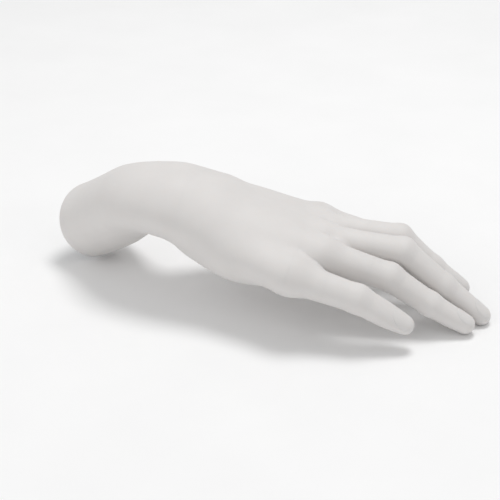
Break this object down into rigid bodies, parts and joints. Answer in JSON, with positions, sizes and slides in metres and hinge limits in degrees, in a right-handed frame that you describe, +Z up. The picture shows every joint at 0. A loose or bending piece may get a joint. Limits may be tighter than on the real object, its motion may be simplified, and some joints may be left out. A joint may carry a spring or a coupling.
{
  "type": "prosthetic hand",
  "caption": "Life-size left hand prosthesis: matte white silicone skin over an inner hand with friction joints and a wrist stub with a coupling.",
  "frame": {"origin": "middle of the footprint on the surface that the hand rests on", "axes": "+X to the fingertips, +Y to the little finger's side, +Z up, out of the back of the hand"},
  "size_m": [0.225, 0.0997, 0.0647],
  "materials": {
    "silicone": "matte",
    "foam": "matte",
    "nylon": "matte",
    "aluminium": "satin",
    "steel": "satin",
    "ptfe": "satin"
  },
  "bodies": {
    "coupling": {"coupling_plate": "aluminium", "wrist_spindle": "steel", "rotation_washer": "ptfe", "disc_spring": "steel", "spindle_nut": "steel"},
    "forearm": {"cuff_block": "nylon", "cuff_skin": "silicone", "flexion_yoke": "aluminium", "yoke_screw_1": "steel", "yoke_screw_2": "steel", "flexion_pin": "steel", "flexion_nut": "steel", "friction_washer_thumb": "ptfe", "friction_washer_little": "ptfe"},
    "palm": {"palm_frame": "nylon", "wrist_tongue": "aluminium", "tongue_screw_1": "steel", "tongue_screw_2": "steel", "dorsal_pad": "foam", "palmar_pad": "foam", "palm_skin": "silicone", "knuckle_axle": "steel", "axle_clip_index": "steel", "axle_clip_little": "steel", "thumb_bracket": "aluminium", "bracket_screw": "steel", "thumb_pivot": "steel"},
    "fingers": {"knuckle_bar": "aluminium", "index_root_link": "aluminium", "index_clamp_screw": "steel", "index_joint_pin": "steel", "index_root_skin": "silicone", "middle_root_link": "aluminium", "middle_clamp_screw": "steel", "middle_joint_pin": "steel", "middle_root_skin": "silicone", "ring_root_link": "aluminium", "ring_clamp_screw": "steel", "ring_joint_pin": "steel", "ring_root_skin": "silicone", "little_root_link": "aluminium", "little_clamp_screw": "steel", "little_joint_pin": "steel", "little_root_skin": "silicone"},
    "index_tip": {"index_tip_link": "aluminium", "index_tip_skin": "silicone"},
    "middle_tip": {"middle_tip_link": "aluminium", "middle_tip_skin": "silicone"},
    "ring_tip": {"ring_tip_link": "aluminium", "ring_tip_skin": "silicone"},
    "little_tip": {"little_tip_link": "aluminium", "little_tip_skin": "silicone"},
    "thumb": {"thumb_root_link": "aluminium", "thumb_joint_pin": "steel", "thumb_root_skin": "silicone"},
    "thumb_tip": {"thumb_tip_link": "aluminium", "thumb_tip_skin": "silicone"}
  },
  "joints": [
    {"name": "wrist_rotation", "type": "hinge", "parent": "coupling", "child": "forearm", "pos_m": [-0.09776, 0.03066, 0.01749], "axis": [0.731, -0.5024, 0.4617], "range_deg": [-90, 90]},
    {"name": "wrist_flexion", "type": "hinge", "parent": "forearm", "child": "palm", "pos_m": [-0.0482, -0.0034, 0.0488], "axis": [0.0951, 0.7451, 0.6601], "range_deg": [-41, 12]},
    {"name": "knuckle_flexion", "type": "hinge", "parent": "palm", "child": "fingers", "pos_m": [0.02982, -0.00338, 0.03634], "axis": [-0.1625, 0.9825, -0.0914], "range_deg": [-10, 40]},
    {"name": "index_bend", "type": "hinge", "parent": "fingers", "child": "index_tip", "pos_m": [0.06647, -0.02361, 0.02864], "axis": [-0.0358, 0.9991, 0.021], "range_deg": [-15, 40]},
    {"name": "middle_bend", "type": "hinge", "parent": "fingers", "child": "middle_tip", "pos_m": [0.07093, -0.00872, 0.03556], "axis": [0.0351, 0.9993, 0.0108], "range_deg": [-15, 40]},
    {"name": "ring_bend", "type": "hinge", "parent": "fingers", "child": "ring_tip", "pos_m": [0.06808, 0.00615, 0.03541], "axis": [0.0799, 0.9968, 0.0043], "range_deg": [-15, 40]},
    {"name": "little_bend", "type": "hinge", "parent": "fingers", "child": "little_tip", "pos_m": [0.0534, 0.02107, 0.02819], "axis": [0.0885, 0.9961, 0.0031], "range_deg": [-15, 40]},
    {"name": "thumb_swing", "type": "hinge", "parent": "palm", "child": "thumb", "pos_m": [0.02109, -0.04183, 0.03396], "axis": [-0.2519, 0.0205, -0.9675], "range_deg": [0, 35]},
    {"name": "thumb_bend", "type": "hinge", "parent": "thumb", "child": "thumb_tip", "pos_m": [0.05347, -0.04322, 0.0255], "axis": [0.1347, 0.9218, 0.3636], "range_deg": [-15, 35]}
  ]
}
